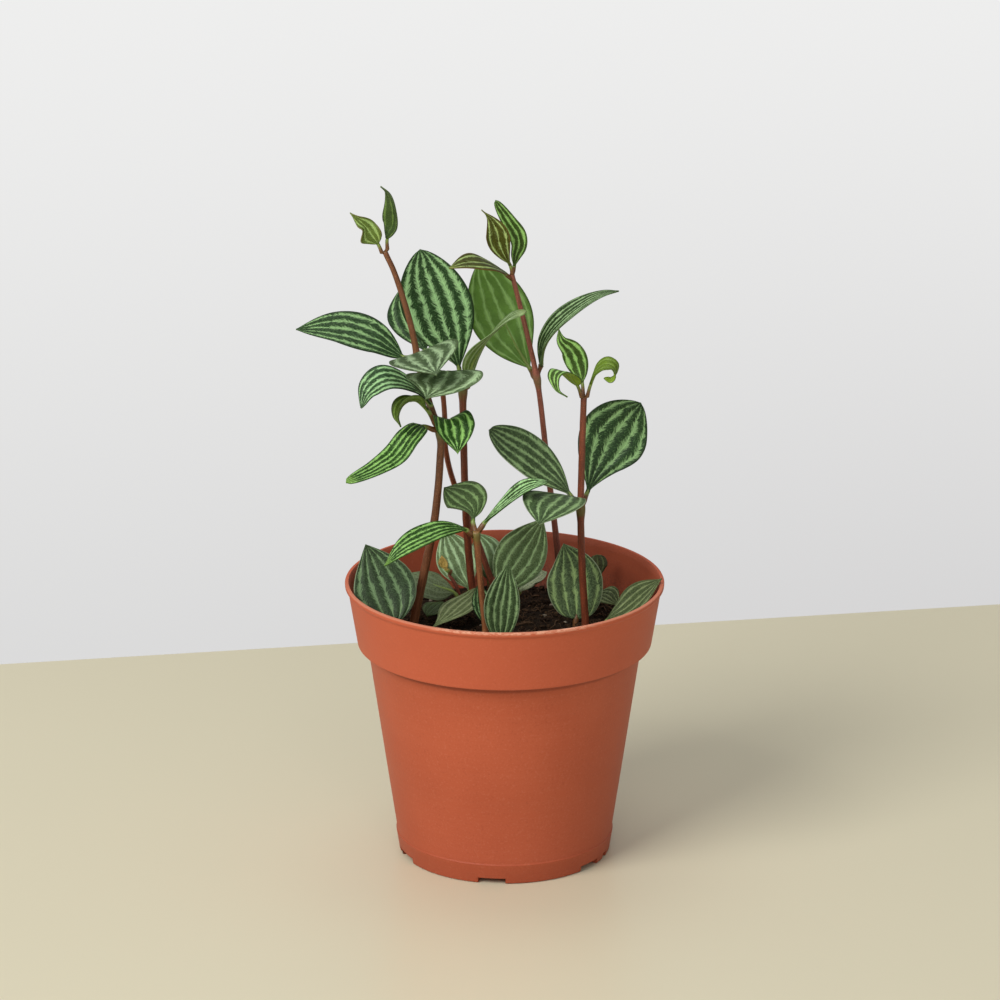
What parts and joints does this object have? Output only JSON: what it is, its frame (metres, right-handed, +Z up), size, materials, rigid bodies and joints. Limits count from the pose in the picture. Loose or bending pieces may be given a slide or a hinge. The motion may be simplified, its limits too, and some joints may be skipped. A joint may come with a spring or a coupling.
{
  "type": "potted plant",
  "caption": "Houseplant with pointed, striped leaves on thin reddish stems, growing from soil in a round tapered plastic nursery pot.",
  "frame": {"origin": "centre of the pot's flat underside, on the surface that the pot stands on", "axes": "+Z up along the pot's axis, -Y towards the side that the plant is seen from, +X to that side's right"},
  "size_m": [0.1237, 0.108, 0.234],
  "materials": {
    "pot": "satin",
    "soil": "rough",
    "stem": "satin",
    "leaf": "satin"
  },
  "bodies": {
    "root": {"pot": "pot", "soil": "soil", "stem_1": "stem", "stem_2": "stem", "stem_3": "stem", "stem_4": "stem", "stem_5": "stem", "stem_6": "stem", "stem_7": "stem", "leaf_1_1": "leaf", "leaf_1_2": "leaf", "leaf_1_3": "leaf", "leaf_1_4": "leaf", "leaf_1_5": "leaf", "leaf_1_6": "leaf", "leaf_1_7": "leaf", "leaf_1_8": "leaf", "leaf_1_9": "leaf", "leaf_2_1": "leaf", "leaf_2_2": "leaf", "leaf_3_1": "leaf", "leaf_4_1": "leaf", "leaf_4_2": "leaf", "leaf_4_3": "leaf", "leaf_4_4": "leaf", "leaf_4_5": "leaf", "leaf_5_1": "leaf", "leaf_5_2": "leaf", "leaf_5_3": "leaf", "leaf_5_4": "leaf", "leaf_5_5": "leaf", "leaf_5_6": "leaf", "leaf_6_1": "leaf", "leaf_6_2": "leaf", "leaf_6_3": "leaf", "leaf_7_1": "leaf", "low_leaf_01": "leaf", "low_leaf_02": "leaf", "low_leaf_03": "leaf", "low_leaf_04": "leaf", "low_leaf_05": "leaf", "low_leaf_06": "leaf", "low_leaf_07": "leaf", "low_leaf_08": "leaf", "low_leaf_09": "leaf", "low_leaf_10": "leaf", "low_leaf_11": "leaf", "low_leaf_12": "leaf", "low_leaf_13": "leaf", "low_leaf_14": "leaf"}
  },
  "joints": []
}
